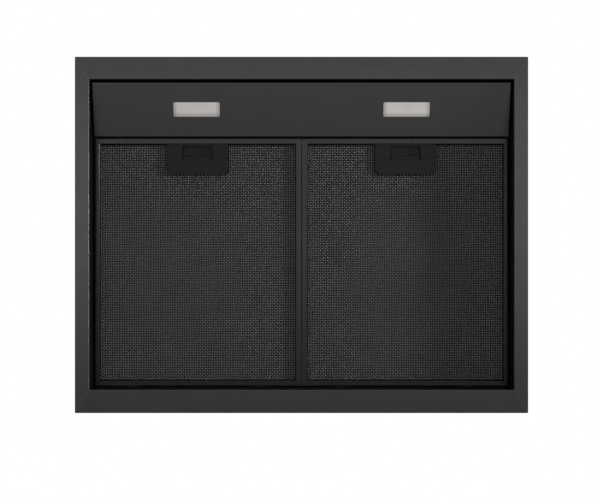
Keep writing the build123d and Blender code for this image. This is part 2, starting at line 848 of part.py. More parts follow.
def chimney():
    """Lower chimney on the canopy, the upper one inside it and its wall bracket."""
    with BuildPart() as chimney_lower:
        with BuildSketch(Plane.XY.offset(canopy_height)):
            channel(chimney_width / 2, chimney_front, rear_y)
        extrude(amount=chimney_lower_height)
    finish(chimney_lower, "chimney_lower")

    with BuildPart() as chimney_upper:
        with BuildSketch(Plane.XY.offset(upper_base)):
            channel(upper_half, upper_front, upper_rear)
        extrude(amount=chimney_upper_height)
        # Vent slots near the top of both sides
        with BuildSketch(Plane.YZ):
            middle = upper_top - vent_from_top - (vent_slots - 1) * vent_slot_pitch / 2
            with Locations(((upper_front + upper_rear) / 2, middle)):
                with GridLocations(0, vent_slot_pitch, 1, vent_slots):
                    Rectangle(vent_slot_length, vent_slot_width)
        extrude(amount=upper_half, both=True, mode=Mode.SUBTRACT)
    finish(chimney_upper, "chimney_upper")

    wing = upper_half - sheet
    inner = wing - bracket_wing
    shelf = rear_y - bracket_step
    base = upper_top - bracket_from_top - bracket_height
    with BuildPart() as chimney_bracket:
        with BuildSketch(Plane.XY.offset(base)):
            strip(
                [
                    (wing, shelf - bracket_wing),
                    (wing, shelf),
                    (inner, shelf),
                    (inner, rear_y),
                    (-inner, rear_y),
                    (-inner, shelf),
                    (-wing, shelf),
                    (-wing, shelf - bracket_wing),
                ],
                panel_bend,
                sheet,
            )
        extrude(amount=bracket_height)
        with BuildSketch(Plane.XZ.offset(-rear_y)):
            with Locations((0, base + bracket_height / 2)):
                with GridLocations(bracket_hole_spacing, 0, 2, 1):
                    Circle(bracket_hole)
        extrude(amount=2 * sheet, mode=Mode.SUBTRACT)
    finish(chimney_bracket, "chimney_bracket")


def volute_outline(inset):
    """Closed outline of the volute: three tangent arcs that grow, then the outlet."""
    radius = volute_radius - inset
    grow = volute_growth
    tongue = volute_tongue + inset
    angle = degrees(acos(tongue / radius))
    right = volute_right - inset
    with BuildLine() as outline:
        CenterArc((0, 0), radius, angle, 180 - angle)
        CenterArc((grow, 0), radius + grow, 180, 90)
        CenterArc((grow, grow), radius + 2 * grow, 270, 90)
        Polyline(
            (right, grow),
            (right, volute_outlet_rise),
            (tongue, volute_outlet_rise),
            (tongue, radius * sin(radians(angle))),
        )
    make_face(outline.edges())


def blower():
    """Blower casing, volute halves, impeller with shaft, motor and its bracket."""
    with BuildPart() as blower_casing:
        with BuildSketch(Plane.XY.offset(canopy_height)):
            with Locations((0, casing_y)):
                Rectangle(2 * casing_half, casing_depth)
        extrude(amount=casing_top - canopy_height)
        offset(amount=-sheet, openings=blower_casing.faces().sort_by(Axis.Z)[0])
        with BuildSketch(Plane.XY.offset(canopy_height)):
            with Locations((0, casing_y)):
                Rectangle(2 * (casing_half + casing_flange), casing_depth)
                Rectangle(2 * casing_half - 2 * sheet, casing_depth - 2 * sheet, mode=Mode.SUBTRACT)
        extrude(amount=sheet)
        with BuildSketch(Plane.XY.offset(casing_top - sheet)):
            with Locations((0, outlet_y)):
                Rectangle(2 * (volute_half - volute_wall), outlet_rear - outlet_front - 2 * volute_wall)
            with Locations((gland_inset - casing_half, casing_front + gland_inset)):
                Circle(gland_radius)
        extrude(amount=sheet, mode=Mode.SUBTRACT)
    finish(blower_casing, "blower_casing")

    for name, side in SIDES.items():
        with BuildPart() as scroll:
            with BuildSketch(fan_plane):
                volute_outline(0)
            extrude(amount=side * volute_half)
            with BuildSketch(fan_plane):
                volute_outline(volute_wall)
            extrude(amount=side * (volute_half - volute_wall), mode=Mode.SUBTRACT)
            with BuildSketch(fan_plane):
                Circle(inlet_radius)
            extrude(amount=side * volute_half, mode=Mode.SUBTRACT)
            # Rolled inlet lip, turned inwards
            with BuildSketch(fan_plane.offset(side * (volute_half - inlet_lip))):
                Circle(inlet_radius + volute_wall)
                Circle(inlet_radius, mode=Mode.SUBTRACT)
            extrude(amount=side * inlet_lip)
        finish(scroll, f"scroll_{name}")

    with BuildPart() as impeller:
        with BuildSketch(fan_plane):
            Circle(impeller_radius - blade_inset / 2)
        extrude(amount=impeller_disc / 2, both=True)
        with BuildSketch(fan_plane):
            Circle(impeller_hub)
        extrude(amount=impeller_hub_length / 2, both=True)
        for side in SIDES.values():
            with BuildSketch(fan_plane.offset(side * impeller_width / 2)):
                Circle(impeller_radius)
                Circle(impeller_radius - impeller_ring, mode=Mode.SUBTRACT)
            extrude(amount=-side * impeller_ring_thickness)
        inner = impeller_radius - impeller_ring + blade_inset
        outer = impeller_radius - blade_inset
        # Forward-leaning blades, each bent once at its middle
        spine = [(inner, 0), ((inner + outer) / 2, blade_lean / 2 - blade_sag)]
        spine.append((sqrt(outer**2 - blade_lean**2), blade_lean))
        half = blade_thickness / 2
        outline = [(r, y - half) for r, y in spine] + [(r, y + half) for r, y in reversed(spine)]
        with BuildSketch(fan_plane):
            with PolarLocations(0, blade_count):
                Polygon(*outline, align=None)
        extrude(amount=impeller_width / 2 - impeller_ring_thickness / 2, both=True)
        with BuildSketch(fan_plane):
            Circle(shaft_radius)
        extrude(amount=impeller_hub_length, both=True, mode=Mode.SUBTRACT)
    finish(impeller, "impeller")

    motor_back = volute_half
    boss_end = motor_back + bracket_plate + motor_boss_length
    with BuildPart() as motor_shaft:
        with BuildSketch(fan_plane.offset(-impeller_hub_length / 2 - shaft_radius)):
            Circle(shaft_radius)
        extrude(amount=impeller_hub_length / 2 + 2 * shaft_radius + boss_end)
        chamfer(motor_shaft.edges().filter_by(GeomType.CIRCLE), shaft_radius / 5)
    finish(motor_shaft, "motor_shaft")

    with BuildPart() as motor_body:
        with BuildSketch(fan_plane.offset(motor_disc_gap)):
            Circle(motor_radius)
        extrude(amount=motor_back - motor_disc_gap)
        chamfer(motor_body.edges().filter_by(GeomType.CIRCLE), motor_chamfer)
        with BuildSketch(fan_plane.offset(motor_back - motor_chamfer)):
            Circle(motor_boss_radius)
        extrude(amount=motor_chamfer + bracket_plate + motor_boss_length)
        with BuildSketch(fan_plane):
            Circle(shaft_radius + shaft_play)
        extrude(amount=2 * boss_end, mode=Mode.SUBTRACT)
    finish(motor_body, "motor_body")

    with BuildPart() as motor_bracket:
        with BuildSketch(fan_plane.offset(motor_back)):
            Circle(inlet_radius + bracket_ring)
            Circle(inlet_radius, mode=Mode.SUBTRACT)
            with PolarLocations(0, bracket_arms):
                Rectangle(inlet_radius + bracket_ring / 2, bracket_arm, align=(Align.MIN, Align.CENTER))
            Circle(bracket_hub)
            Circle(motor_boss_radius + shaft_play, mode=Mode.SUBTRACT)
        extrude(amount=bracket_plate)
    finish(motor_bracket, "motor_bracket")

    cap_x = (sheet - volute_half - casing_half) / 2
    cap_y = casing_front + sheet + clip_thickness + capacitor_radius
    with BuildPart() as motor_capacitor:
        with BuildSketch(Plane.XY.offset(capacitor_z)):
            with Locations((cap_x, cap_y)):
                Circle(capacitor_radius)
        extrude(amount=capacitor_length)
        chamfer(motor_capacitor.edges().filter_by(GeomType.CIRCLE), clip_thickness)
        # Band clip that holds the can on the casing's front wall
        with BuildSketch(Plane.XY.offset(capacitor_z + (capacitor_length - clip_height) / 2)):
            with Locations((cap_x, cap_y)):
                Circle(capacitor_radius + clip_thickness)
            with Locations((cap_x, casing_front + sheet)):
                Rectangle(3 * capacitor_radius, clip_thickness, align=(Align.CENTER, Align.MIN))
        extrude(amount=clip_height)
    finish(motor_capacitor, "motor_capacitor")


def outlet():
    """Outlet collar on the casing, its two flaps on pins, and the cable gland."""
    bore = collar_radius - collar_wall
    foot_depth = outlet_rear - outlet_front
    at_round = Plane.XY.offset(collar_base)
    at_foot = Plane.XY.offset(casing_top + collar_foot)
    with BuildPart() as outlet_collar:
        with BuildSketch(Plane.XY.offset(casing_top)):
            with Locations((0, outlet_y)):
                Rectangle(2 * volute_half + 2 * collar_foot_margin, foot_depth + 2 * collar_foot_margin)
        extrude(amount=collar_foot)
        with BuildSketch(at_foot):
            with Locations((0, outlet_y)):
                RectangleRounded(2 * volute_half, foot_depth, 3 * collar_wall)
        with BuildSketch(at_round):
            with Locations((0, collar_y)):
                Circle(collar_radius)
        loft()
        with BuildSketch(at_round):
            with Locations((0, collar_y)):
                Circle(collar_radius)
        extrude(amount=collar_height)
        with BuildSketch(at_foot):
            with Locations((0, outlet_y)):
                RectangleRounded(2 * (volute_half - volute_wall), foot_depth - 2 * volute_wall, 2 * collar_wall)
        with BuildSketch(at_round):
            with Locations((0, collar_y)):
                Circle(bore - seat_width)
        loft(mode=Mode.SUBTRACT)
        with BuildSketch(Plane.XY.offset(casing_top)):
            with Locations((0, outlet_y)):
                RectangleRounded(2 * (volute_half - volute_wall), foot_depth - 2 * volute_wall, 2 * collar_wall)
        extrude(amount=collar_foot, mode=Mode.SUBTRACT)
        with BuildSketch(at_round):
            with Locations((0, collar_y)):
                Circle(bore - seat_width)
        extrude(amount=seat_height, mode=Mode.SUBTRACT)
        with BuildSketch(at_round.offset(seat_height)):
            with Locations((0, collar_y)):
                Circle(bore)
        extrude(amount=collar_height, mode=Mode.SUBTRACT)
        with BuildSketch(Plane.YZ):
            with Locations((collar_y, flap_z)):
                with GridLocations(2 * flap_axis, 0, 2, 1):
                    Circle(pin_radius)
        extrude(amount=collar_radius, both=True, mode=Mode.SUBTRACT)
    finish(outlet_collar, "outlet_collar")

    with BuildPart() as flap_pins:
        with BuildSketch(Plane.YZ):
            with Locations((collar_y, flap_z)):
                with GridLocations(2 * flap_axis, 0, 2, 1):
                    Circle(pin_radius)
        extrude(amount=collar_radius - collar_wall / 2, both=True)
    finish(flap_pins, "flap_pins")

    for name, turn in {"front": -1, "rear": 1}.items():
        axis_y = collar_y + turn * flap_axis
        with BuildPart() as flap:
            with BuildSketch(Plane.XY.offset(flap_z - flap_thickness / 2)):
                with Locations((0, collar_y)):
                    Circle(flap_radius)
                with Locations((0, axis_y + turn * flap_radius)):
                    Rectangle(2 * flap_radius, 2 * flap_radius, mode=Mode.INTERSECT)
            extrude(amount=flap_thickness)
            with BuildSketch(Plane.YZ):
                with Locations((axis_y, flap_z)):
                    Circle(flap_barrel)
            extrude(amount=flap_barrel_length / 2, both=True)
            with BuildSketch(Plane.YZ):
                with Locations((axis_y, flap_z)):
                    Circle(pin_radius + pin_play)
            extrude(amount=flap_radius, both=True, mode=Mode.SUBTRACT)
        finish(flap, f"flap_{name}")

    with BuildPart() as cable_gland:
        gland_at = (gland_inset - casing_half, casing_front + gland_inset)
        with BuildSketch(Plane.XY.offset(casing_top)):
            with Locations(gland_at):
                RegularPolygon(gland_nut_side / 2, 6)
        extrude(amount=gland_nut_height)
        with BuildSketch(Plane.XY.offset(casing_top - 2 * gland_nut_height)):
            with Locations(gland_at):
                Circle(gland_radius - lens_play)
        extrude(amount=gland_height + 2 * gland_nut_height)
        chamfer(cable_gland.edges().sort_by(Axis.Z)[-1], gland_radius / 4)
        with BuildSketch(Plane.XY.offset(casing_top - 2 * gland_nut_height)):
            with Locations(gland_at):
                Circle(gland_bore)
        extrude(amount=2 * gland_height, mode=Mode.SUBTRACT)
    finish(cable_gland, "cable_gland")


def main():
    os.makedirs("parts", exist_ok=True)
    canopy()
    filter_bay()
    lights()
    controls()
    electrics()
    for name, side in SIDES.items():
        grease_filter(name, side)
        latch(name, side)
    chimney()
    blower()
    outlet()


if __name__ == "__main__":
    main()
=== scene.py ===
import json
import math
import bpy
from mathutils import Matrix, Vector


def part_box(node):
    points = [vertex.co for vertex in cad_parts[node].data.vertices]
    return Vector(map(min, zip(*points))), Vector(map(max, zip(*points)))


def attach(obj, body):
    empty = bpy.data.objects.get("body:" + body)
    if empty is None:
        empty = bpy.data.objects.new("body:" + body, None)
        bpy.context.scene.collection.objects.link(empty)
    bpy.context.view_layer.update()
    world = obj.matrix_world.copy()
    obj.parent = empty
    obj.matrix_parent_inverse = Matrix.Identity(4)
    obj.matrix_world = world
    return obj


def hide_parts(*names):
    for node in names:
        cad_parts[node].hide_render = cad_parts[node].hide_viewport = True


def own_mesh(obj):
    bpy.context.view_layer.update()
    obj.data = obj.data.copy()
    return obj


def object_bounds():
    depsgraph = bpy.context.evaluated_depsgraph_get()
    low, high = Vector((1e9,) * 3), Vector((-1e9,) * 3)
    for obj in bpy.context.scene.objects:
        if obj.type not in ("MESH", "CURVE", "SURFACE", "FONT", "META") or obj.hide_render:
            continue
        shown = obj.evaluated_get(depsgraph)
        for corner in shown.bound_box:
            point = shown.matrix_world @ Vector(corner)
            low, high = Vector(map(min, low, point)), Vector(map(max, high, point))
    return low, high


bl_info = {
    "name": "Chimney Cooker Hood",
    "version": (1, 0, 0),
    "blender": (4, 5, 0),
    "location": "View3D > Sidebar > Hood",
    "description": "Dresses a chimney cooker hood: strand meshes, screws, finishes and a studio",
    "category": "Object",
}

import bmesh
import bpy
from bpy.props import FloatProperty, FloatVectorProperty, PointerProperty
from bpy.types import Operator, Panel, PropertyGroup
from mathutils import Matrix, Vector

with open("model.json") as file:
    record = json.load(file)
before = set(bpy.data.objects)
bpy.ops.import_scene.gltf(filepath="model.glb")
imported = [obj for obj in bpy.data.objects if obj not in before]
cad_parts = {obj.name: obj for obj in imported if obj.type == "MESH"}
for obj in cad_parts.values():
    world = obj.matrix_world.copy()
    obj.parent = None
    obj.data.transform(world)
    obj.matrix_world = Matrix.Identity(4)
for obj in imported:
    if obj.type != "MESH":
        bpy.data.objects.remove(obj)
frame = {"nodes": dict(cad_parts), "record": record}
CAD_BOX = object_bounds()
SIDES = ("left", "right")

# The hood's own sizes in metres, the finger window's taper as a slope, and corner cuts in degrees
FRAME_BAR = 0.008
SHEET = 0.001
PLATE_WIDTH = 0.044
COLLAR_MIDDLE = 0.16
COLLAR_SCREW_X, COLLAR_SCREW_Y = 0.063, 0.0405
WINDOW_INSET = 0.0021
WINDOW_HALF = 0.0195
WINDOW_TAPER = 0.158
NOTCH_RADIUS = 0.0097
# The wider play at the rear and on the left opens a dark gap round each latch that stands in for its shadow
# on the mesh
NOTCH_REAR_PLAY = 0.0016
NOTCH_SIDE_PLAY = {-1: 0.0016, 1: 0.0007}
NOTCH_CORNER_CUTS = (22.5, 45.0, 67.5)

# Where each painted highlight or painted shade starts and ends, in metres from the edge it follows
MITRE_HIGHLIGHT = (0.0002, 0.0009)
RIM_SIDE_LIGHT = (-0.0006, 0.0006)
RIM_FACE = (0.0002, 0.0004)
TAB_SHADE = (0.0014, 0.0017)
JOINT_HIGHLIGHT = (0.0, 0.0008)
BAR_SHADOW = (0.0012, 0.0020)
LATCH_SEAT_SHADE = (0.0006, 0.0015)
LATCH_POCKET = (-0.0012, 0.0)
GRIP_FRONT_SHADE = (0.0012, 0.0028)
GRIP_SIDE_SHADE = (-0.0032, -0.0012)
LENS_BORDER_SHADE = (-0.0085, -0.0045)

# Shape of a screw head, as shares of its radius and rise, and the angle from one head to the next
HEAD_CELLS = 5
HEAD_FALL = 0.4
CROSS_WIDTH, CROSS_REACH, CROSS_TAPER = 0.2, 0.7, 0.8
HEAD_TURN = 0.7

# The studio: each lamp's place, the point it faces, its size and its spread
LAMPS = {
    "card": ((0.0, -0.135, -1.75), (0.0, -0.135, 0.0), (2.6, 0.73), math.pi),
    "side_lamp": ((1.6, -0.42, -0.42), (0.0, 0.0, 0.03), (0.29, 0.16), math.radians(80.0)),
    "edge_lamp": ((4.0, 0.0, -0.06), (0.0, 0.0, 0.0), (0.1, 0.05), math.radians(40.0)),
}
FLOOR_RADIUS = 11.0
FLOOR_GLOW = 0.3
FLAG_DROP = 0.72
SENSOR_WIDTH = 36.0
CAMERA_SHIFT = (-0.0042, -0.0269)

SLOT_OF = {part["node"]: part["material_slot"] for part in frame["record"]["subparts"]}
OWN_FINISH = {"canopy_shell": "rim", "light_panel": "panel"}
OWN_FINISH.update({node: "button" for node in SLOT_OF if node.startswith("button_")})
OWN_FINISH.update({f"latch_bezel_{side}": "latch" for side in SIDES})
OWN_FINISH.update({f"latch_slider_{side}": "grip" for side in SIDES})
FINISHES = {}


def paint(name, words, value):
    """A colour that a user may change."""
    return FloatVectorProperty(
        name=name, description=words, subtype="COLOR", size=3, min=0.0, max=1.0, default=value
    )


def size(name, words, value):
    """A length that a user may change, in metres."""
    return FloatProperty(
        name=name, description=words, subtype="DISTANCE", unit="LENGTH", min=0.0, precision=5, default=value
    )


def strength(name, words, value):
    """A lamp's power or a light's strength."""
    return FloatProperty(name=name, description=words, min=0.0, default=value)


class HOOD_PG_colours(PropertyGroup):
    """Colours of the hood's finishes."""

    rim: paint("Canopy paint", "Satin black of canopy and chimney", (0.0106, 0.0106, 0.011))
    # The bay's matt black is set darker than the canopy's, partly as painted shade inside the bay
    bay: paint("Bay paint", "Matt black inside the filter bay", (0.006, 0.006, 0.006))
    panel: paint("Light panel", "Satin black of the sloping panel", (0.0125, 0.0125, 0.0129))
    filter: paint("Filter frame", "Black paint of the filter frames", (0.006, 0.006, 0.0063))
    strands: paint("Filter mesh", "Dark metal of the filter meshes", (0.148, 0.148, 0.151))
    core: paint("Filter core", "Packed layers behind the mesh", (0.27, 0.27, 0.27))
    latch: paint("Latches", "Matt black plastic of the filter latches", (0.0145, 0.0145, 0.0149))
    plastic: paint("Black plastic", "Control bezel and gland", (0.02, 0.02, 0.0205))
    button: paint("Buttons", "Dark grey of the push buttons", (0.075, 0.076, 0.079))
    lens: paint("Lamp lens", "Frosted plastic of the lamps", (0.478, 0.454, 0.435))
    zinc: paint("Galvanised steel", "Blower casing and brackets", (0.62, 0.63, 0.64))
    housing: paint("Grey plastic", "Scroll, boxes and lamp housings", (0.40, 0.41, 0.42))
    fan: paint("Fan plastic", "Impeller, collar and flaps", (0.15, 0.16, 0.17))
    board: paint("Circuit board", "Solder mask of the boards", (0.03, 0.16, 0.08))
    motor: paint("Motor can", "Painted steel of the motor", (0.26, 0.27, 0.29))
    steel: paint("Bright steel", "Shaft, pins and springs", (0.66, 0.66, 0.67))


class HOOD_PG_mesh(PropertyGroup):
    """Sizes of the filter's strand mesh."""

    pitch: size("Pitch", "Distance between neighbouring strands", 0.00327)
    strand: size("Strand", "Width of a strand", 0.00115)
    ridge: size("Ridge", "Height of the knots over the strands' edges", 0.00045)
    thickness: size("Thickness", "Thickness of the sheet", 0.00035)
    lap: size("Lap", "How far the sheet reaches behind the frame", 0.003)


class HOOD_PG_back(PropertyGroup):
    """Sizes of the filter's coarser back mesh."""

    pitch: size("Pitch", "Distance between neighbouring strands", 0.0066)
    strand: size("Strand", "Width of a strand", 0.0017)
    ridge: size("Ridge", "Height of the knots over the strands' edges", 0.0003)
    thickness: size("Thickness", "Thickness of the sheet", 0.0003)
    lap: size("Lap", "How far the sheet reaches behind the frame", 0.002)


class HOOD_PG_screws(PropertyGroup):
    """Sizes of the screw and rivet heads."""

    head: size("Head", "Radius of a screw head", 0.003)
    rise: size("Rise", "Height of a screw head", 0.0019)
    recess: size("Recess", "Depth of the cross recess", 0.0012)
    rivet: size("Rivet", "Radius of a rivet head", 0.0024)


class HOOD_PG_stage(PropertyGroup):
    """The studio round the hood."""

    distance: size("Camera distance", "From the rim down to the camera", 1.6)
    lens: FloatProperty(name="Lens", description="Focal length in millimetres", min=10.0, default=73.02)
    ambient: strength("Ambient", "Strength of the even light", 0.66)
    card: strength("Card", "Power of the card under the hood", 13.5)
    side_lamp: strength("Side lamp", "Power of the lamp at the right", 2.95)
    edge_lamp: strength("Edge lamp", "Power of the low lamp at the right", 8.0)
    flag: size("Flags", "How far the dark cards stand from the middle", 0.9)
    floor: size("Floor", "How far below the rim the floor lies", 2.6)


class Finish:
    """A node finish on Object coordinates, built up layer by layer."""

    def __init__(self, name, colour, roughness, metallic=0.0, specular=0.5):
        self.material = bpy.data.materials.new(name)
        self.material.use_nodes = True
        self.nodes = self.material.node_tree.nodes
        self.links = self.material.node_tree.links
        self.shader = self.nodes["Principled BSDF"]
        self.shader.inputs["Base Color"].default_value = (*colour, 1.0)
        self.shader.inputs["Roughness"].default_value = roughness
        self.shader.inputs["Metallic"].default_value = metallic
        self.shader.inputs["Specular IOR Level"].default_value = specular
        self.material.diffuse_color = (*colour, 1.0)
        self.place = self.nodes.new("ShaderNodeTexCoord").outputs["Object"]
        self.tint = tuple(colour)
        self.dullness = roughness

    def turned(self, angle, stretch=(1.0, 1.0, 1.0)):
        """Object coordinates turned about the vertical and stretched."""
        node = self.nodes.new("ShaderNodeMapping")
        node.inputs["Rotation"].default_value = (0.0, 0.0, angle)
        node.inputs["Scale"].default_value = stretch
        self.links.new(self.place, node.inputs["Vector"])
        return node.outputs["Vector"]

    def noise(self, scale, detail=2.0, at=None):
        """Cloudy noise, from 0 to 1."""
        node = self.nodes.new("ShaderNodeTexNoise")
        node.inputs["Scale"].default_value = scale
        node.inputs["Detail"].default_value = detail
        self.links.new(at or self.place, node.inputs["Vector"])
        return node.outputs["Fac"]

    def cells(self, scale):
        """A random value for each crystal-like cell."""
        node = self.nodes.new("ShaderNodeTexVoronoi")
        node.inputs["Scale"].default_value = scale
        self.links.new(self.place, node.inputs["Vector"])
        split = self.nodes.new("ShaderNodeSeparateColor")
        self.links.new(node.outputs["Color"], split.inputs["Color"])
        return split.outputs["Red"]

    def bands(self, pitch, angle):
        """Soft bands at a pitch, turned about the vertical."""
        node = self.nodes.new("ShaderNodeTexWave")
        node.inputs["Scale"].default_value = math.pi / (10.0 * pitch)
        self.links.new(self.turned(angle), node.inputs["Vector"])
        return node.outputs["Fac"]

    def along(self, axis):
        """One Object coordinate."""
        split = self.nodes.new("ShaderNodeSeparateXYZ")
        self.links.new(self.place, split.inputs["Vector"])
        return split.outputs[axis]

    def beyond(self, axis, place):
        """How far a point lies outside a mirrored pair of places along an axis."""
        return self.math("SUBTRACT", self.math("ABSOLUTE", self.along(axis)), place)

    def spread(self, value, low, high, start=0.3, end=0.7):
        """Map a value from start to end onto low to high."""
        node = self.nodes.new("ShaderNodeMapRange")
        for key, number in (("From Min", start), ("From Max", end), ("To Min", low), ("To Max", high)):
            node.inputs[key].default_value = number
        self.links.new(value, node.inputs["Value"])
        return node.outputs["Result"]

    def math(self, operation, a, b=0.0):
        """Work out a value from one or two others."""
        node = self.nodes.new("ShaderNodeMath")
        node.operation = operation
        for socket, value in zip(node.inputs, (a, b)):
            if isinstance(value, float):
                socket.default_value = value
            else:
                self.links.new(value, socket)
        return node.outputs[0]

    def shade(self, factor):
        """Multiply the colour by a factor that varies over the surface."""
        node = self.nodes.new("ShaderNodeVectorMath")
        node.operation = "SCALE"
        if isinstance(self.tint, tuple):
            node.inputs[0].default_value = self.tint
        else:
            self.links.new(self.tint, node.inputs[0])
        self.links.new(factor, node.inputs["Scale"])
        self.tint = node.outputs[0]
        self.links.new(self.tint, self.shader.inputs["Base Color"])
        return self

    def rough(self, value):
        """Let the roughness vary."""
        self.links.new(value, self.shader.inputs["Roughness"])
        self.dullness = value
        return self

    def bump(self, height, strength, depth):
        """Relief of a real depth in metres."""
        node = self.nodes.new("ShaderNodeBump")
        node.inputs["Strength"].default_value = strength
        node.inputs["Distance"].default_value = depth
        self.links.new(height, node.inputs["Height"])
        self.links.new(node.outputs["Normal"], self.shader.inputs["Normal"])
        return self


def reach(edge, span):
    """Where a change of shade starts and ends, measured from an edge."""
    return edge + span[0], edge + span[1]


def powder_coat(name, colour, roughness, specular=0.5):
    """Satin powder coat: fine orange peel, faint clouds."""
    coat = Finish(name, colour, roughness, specular=specular)
    peel = coat.noise(900.0, 2.0)
    coat.shade(coat.spread(peel, 0.88, 1.12))
    coat.shade(coat.spread(coat.noise(9.0, 3.0), 0.95, 1.05))
    coat.rough(coat.spread(coat.noise(45.0), roughness - 0.03, roughness + 0.03))
    return coat.bump(peel, 0.12, 0.0001)


def painted_mitre_light(coat):
    """Painted highlights along the seams across the rim's corners, and the side rims painted lighter than
    the front and rear rims.
    """
    corner, inner = CAD_BOX[1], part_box("inner_frame")[1]
    run = Vector((corner.x - inner.x, corner.y - inner.y)).normalized()
    across, down = coat.beyond("X", corner.x), coat.beyond("Y", corner.y)
    off = coat.math("SUBTRACT", coat.math("MULTIPLY", across, run.y), coat.math("MULTIPLY", down, run.x))
    seam_highlight = coat.spread(coat.math("ABSOLUTE", off), 2.6, 1.0, *MITRE_HIGHLIGHT)
    below = coat.spread(coat.along("Z"), 1.0, 0.0, *RIM_FACE)
    coat.shade(coat.math("POWER", seam_highlight, below))
    return coat.shade(coat.spread(off, 0.94, 1.08, *RIM_SIDE_LIGHT))


def tabs_in_painted_shade(coat):
    """Painted shade on the rear tabs: dark and dull a little behind the mesh's rear edge, as in the gap
    behind the filter.
    """
    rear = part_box("filter_mesh_left")[1].y
    in_gap_shade = coat.spread(coat.along("Y"), 0.0, 1.0, *reach(rear, TAB_SHADE))
    coat.rough(coat.math("MAXIMUM", coat.dullness, in_gap_shade))
    return coat.shade(coat.spread(in_gap_shade, 1.0, 0.08, 0.0, 1.0))


def joint_highlight(coat):
    """Painted highlight on the edges where the two filter frames meet."""
    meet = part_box("filter_frame_right")[0].x
    return coat.shade(coat.spread(coat.beyond("X", meet), 8.0, 1.0, *JOINT_HIGHLIGHT))


def bar_shadow(metal):
    """Painted shadow of the frame's front bar on the mesh, along the bar's inner edge."""
    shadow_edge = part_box("filter_frame_left")[0].y + FRAME_BAR
    return metal.shade(metal.spread(metal.along("Y"), 0.05, 1.0, *reach(shadow_edge, BAR_SHADOW)))


def strand_metal(name, colour, pitch):
    """Dark coated metal of the strands, with painted highlights on the knots and painted shade between
    them.
    """
    metal = Finish(name, colour, 0.58, metallic=0.85)
    away = metal.math("MAXIMUM", metal.bands(pitch, math.pi / 4), metal.bands(pitch, -math.pi / 4))
    metal.shade(metal.spread(away, 2.75, 0.09, 0.05, 0.45))
    metal.bump(metal.math("SUBTRACT", 1.0, away), 1.0, 0.0005)
    metal.shade(metal.spread(metal.noise(420.0), 0.92, 1.08))
    metal.shade(metal.spread(metal.noise(22.0), 0.94, 1.06))
    metal.rough(metal.spread(metal.noise(300.0), 0.52, 0.64))
    return bar_shadow(metal)


def behind_latch(metal):
    """Mesh in shade where the latch's pocket ends on it."""
    low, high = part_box("latch_bezel_right")
    middle, half = (low.x + high.x) / 2, (high.x - low.x) / 2
    aside = metal.math("ABSOLUTE", metal.beyond("X", middle))
    beside = metal.spread(aside, 0.0, 1.0, *reach(half, LATCH_POCKET))
    behind = metal.spread(metal.along("Y"), 0.0, 1.0, *reach(high.y, LATCH_POCKET))
    return metal.shade(metal.spread(metal.math("MAXIMUM", beside, behind), 0.08, 1.0, 0.0, 1.0))


def packed_layers(name, colour, pitch):
    """The next layer of mesh: its knots show in the front mesh's gaps, and the rest is in shade."""
    core = Finish(name, colour, 0.6, metallic=0.5, specular=0.3)
    knots = core.math("MINIMUM", core.bands(pitch, math.pi / 4), core.bands(pitch, -math.pi / 4))
    core.shade(core.spread(knots, 0.027, 1.0, 0.75, 0.95))
    core.shade(core.spread(core.noise(160.0), 0.9, 1.1))
    core.bump(knots, 0.6, 0.0005)
    return bar_shadow(core)


def moulded(name, colour, roughness, specular=0.4):
    """Moulded plastic with a fine spark-eroded grain."""
    plastic = Finish(name, colour, roughness, specular=specular)
    grain = plastic.noise(1500.0, 3.0)
    plastic.shade(plastic.spread(grain, 0.9, 1.1))
    plastic.shade(plastic.spread(plastic.noise(18.0), 0.96, 1.04))
    plastic.rough(plastic.spread(plastic.noise(240.0), roughness - 0.05, roughness + 0.05))
    return plastic.bump(grain, 0.2, 0.00012)


def seat_shade(plastic):
    """Latch plastic, with painted shade where the plate meets the filter frame."""
    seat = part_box("latch_bezel_right")[0].y
    return plastic.shade(plastic.spread(plastic.along("Y"), 0.3, 1.0, *reach(seat, LATCH_SEAT_SHADE)))


def grip_shade(plastic):
    """Grip plastic, with painted shade in the finger window's front and along its outer edge."""
    low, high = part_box("latch_bezel_right")
    behind = plastic.math("SUBTRACT", plastic.along("Y"), low.y + WINDOW_INSET)
    aside = plastic.beyond("X", (low.x + high.x) / 2)
    edge = plastic.math("SUBTRACT", aside, plastic.math("MULTIPLY", behind, WINDOW_TAPER))
    plastic.shade(plastic.spread(behind, 0.15, 1.0, *GRIP_FRONT_SHADE))
    return plastic.shade(plastic.spread(edge, 1.0, 0.25, *reach(WINDOW_HALF, GRIP_SIDE_SHADE)))


def frosted(name, colour):
    """Frosted lens: milky, with a fine tooth and painted shade along its border at the sides and rear."""
    lens = Finish(name, colour, 0.42, specular=0.4)
    low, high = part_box("lamp_lens_right")
    middle, half = (low + high) / 2, (high - low) / 2
    aside = lens.math("ABSOLUTE", lens.beyond("X", middle.x))
    behind = lens.math("SUBTRACT", lens.along("Y"), middle.y)
    lens.shade(lens.spread(aside, 1.0, 0.7, *reach(half.x, LENS_BORDER_SHADE)))
    lens.shade(lens.spread(behind, 1.0, 0.7, *reach(half.y, LENS_BORDER_SHADE)))
    tooth = lens.noise(2200.0, 2.0)
    lens.shade(lens.spread(lens.noise(60.0), 0.97, 1.03))
    lens.rough(lens.spread(tooth, 0.36, 0.5))
    return lens.bump(tooth, 0.15, 0.00008)


def galvanised(name, colour):
    """Galvanised sheet with its crystals."""
    zinc = Finish(name, colour, 0.4, metallic=1.0)
    crystal = zinc.cells(130.0)
    zinc.shade(zinc.spread(crystal, 0.82, 1.08, 0.0, 1.0))
    zinc.shade(zinc.spread(zinc.noise(30.0), 0.92, 1.06))
    zinc.rough(zinc.spread(crystal, 0.32, 0.5, 0.0, 1.0))
    return zinc.bump(zinc.noise(700.0), 0.08, 0.0001)


